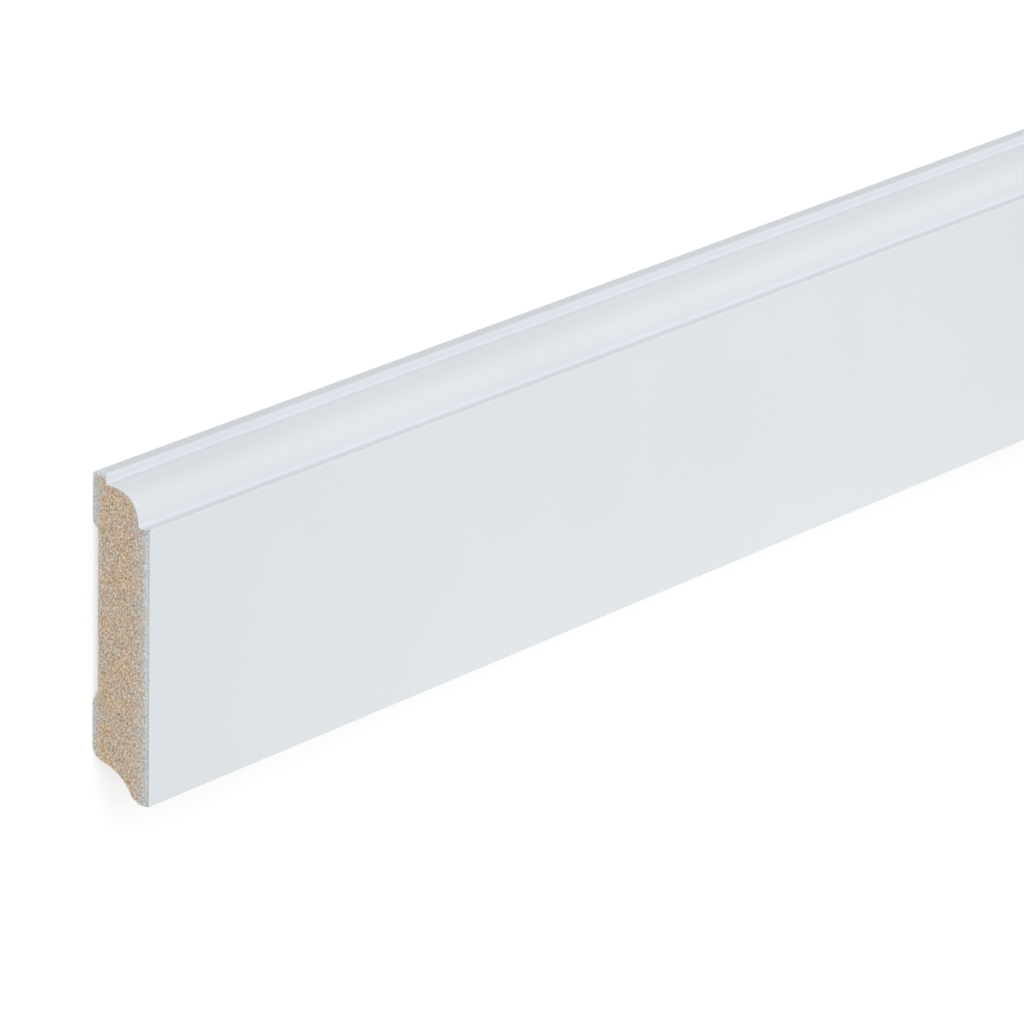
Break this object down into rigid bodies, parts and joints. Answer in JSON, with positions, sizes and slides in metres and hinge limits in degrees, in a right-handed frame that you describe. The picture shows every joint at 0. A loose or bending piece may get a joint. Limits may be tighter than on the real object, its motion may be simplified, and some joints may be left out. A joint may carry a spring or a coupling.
{
  "type": "skirting board length",
  "caption": "Straight length of white-finished MDF skirting with a stepped quarter-round top, flat face, undercut foot and relieved back.",
  "frame": {"origin": "middle of the back, halfway along, on the plane of the two lands that bear on the wall", "axes": "+X along the board, +Y from its foot to its top edge, +Z out of its front face"},
  "size_m": [2.4, 0.08, 0.016],
  "materials": {
    "white_finish": "satin white surface film on fibreboard",
    "raw_fibreboard": "bare sawn and moulded fibreboard"
  },
  "bodies": {
    "root": {"skirting_board": "white_finish"}
  },
  "joints": []
}
